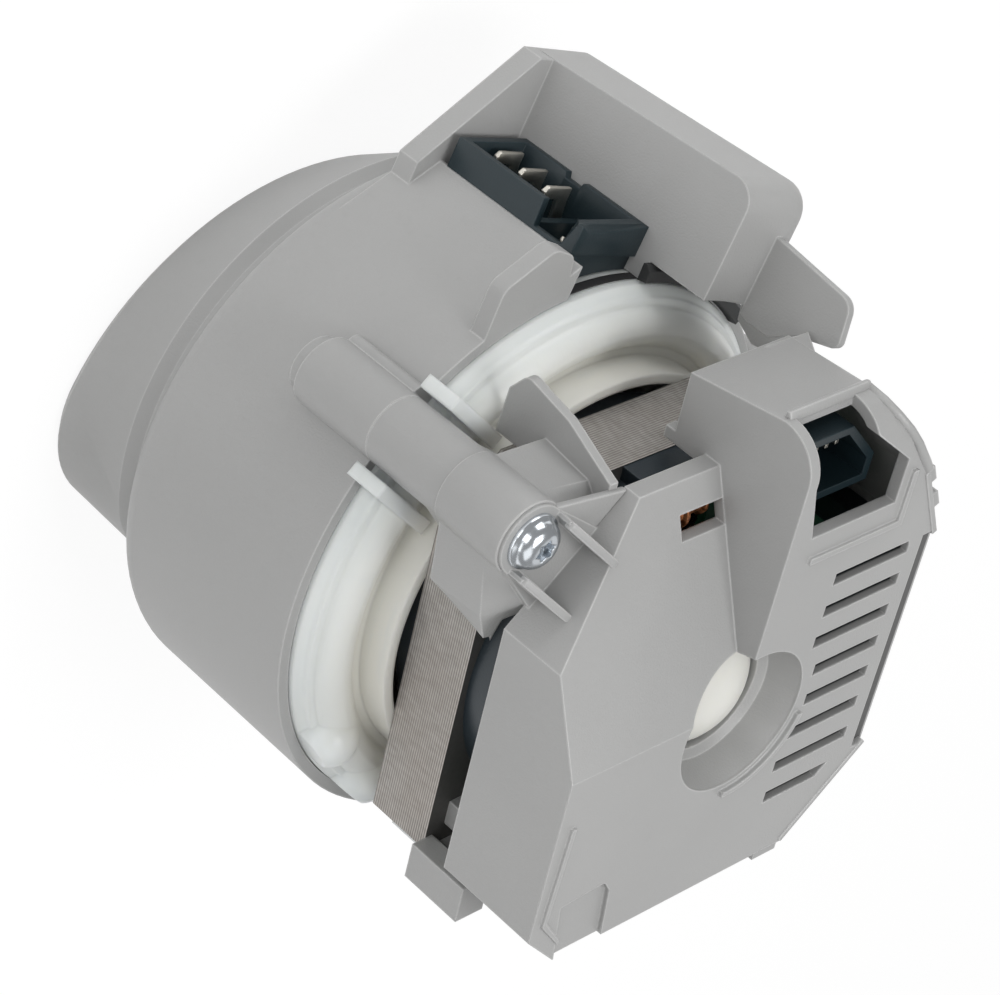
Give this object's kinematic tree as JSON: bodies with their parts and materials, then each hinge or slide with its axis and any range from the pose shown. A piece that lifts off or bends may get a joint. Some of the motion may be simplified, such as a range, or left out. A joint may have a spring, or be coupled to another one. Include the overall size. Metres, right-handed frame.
{
  "type": "dishwasher heater pump",
  "caption": "Wet-rotor circulation pump with built-in flow heater: grey drum with suction collar and outlet hood, white flange, stator stack and rear cover with vents and a socket.",
  "frame": {"origin": "point of the rotor axis in the plane of the suction collar rim, on which the pump stands", "axes": "+Z along the rotor axis from the suction mouth to the rear cover; +X along the vent slots of the rear cover, towards its vented side; +Y towards the motor connector"},
  "size_m": [0.1162, 0.1363, 0.119],
  "materials": {
    "grey_plastic": "fine moulded texture, mid grey",
    "white_plastic": "natural white",
    "white_flange": "milky white, slightly translucent",
    "dark_plastic": "satin black",
    "black_plastic": "satin black",
    "seal_rubber": "matt",
    "stainless": "drawn",
    "heater_layer": "fired dark green enamel",
    "tin": "tin plated",
    "carbon": "ground carbon",
    "steel": "machined",
    "ferrite": "sintered, dull black",
    "lamination": "coated sheet edges",
    "copper": "enamelled wire",
    "board_green": "solder resist",
    "capacitor_sleeve": "sleeved can",
    "chip_black": "moulded package",
    "zinc": "bright zinc"
  },
  "bodies": {
    "pump_body": {"pump_housing": "grey_plastic", "outlet_seal": "seal_rubber", "suction_tube": "dark_plastic", "heater_tube": "stainless", "heater_tracks": "heater_layer", "heater_seal_front": "seal_rubber", "heater_seal_rear": "seal_rubber", "heater_connector": "black_plastic", "heater_terminals": "tin", "temperature_sensor": "black_plastic", "diffuser": "white_plastic", "front_bearing": "carbon", "rear_bearing": "carbon", "motor_flange": "white_flange", "flange_seal": "seal_rubber", "stator_core": "lamination", "insulator_front": "black_plastic", "insulator_rear": "black_plastic", "stator_coils": "copper", "circuit_board": "board_green", "board_capacitors": "capacitor_sleeve", "board_chips": "chip_black", "board_choke": "ferrite", "motor_connector": "black_plastic", "connector_pins": "tin", "rear_cover": "grey_plastic", "cover_screws": "zinc"},
    "rotor": {"rotor_shaft": "stainless", "rotor_core": "steel", "rotor_magnet": "ferrite", "thrust_washer": "carbon", "impeller": "white_plastic", "impeller_shroud": "white_plastic"}
  },
  "joints": [
    {"name": "rotor_spin", "type": "hinge", "parent": "pump_body", "child": "rotor", "pos_m": [0, 0, 0.09], "axis": [0, 0, 1], "continuous": true}
  ]
}
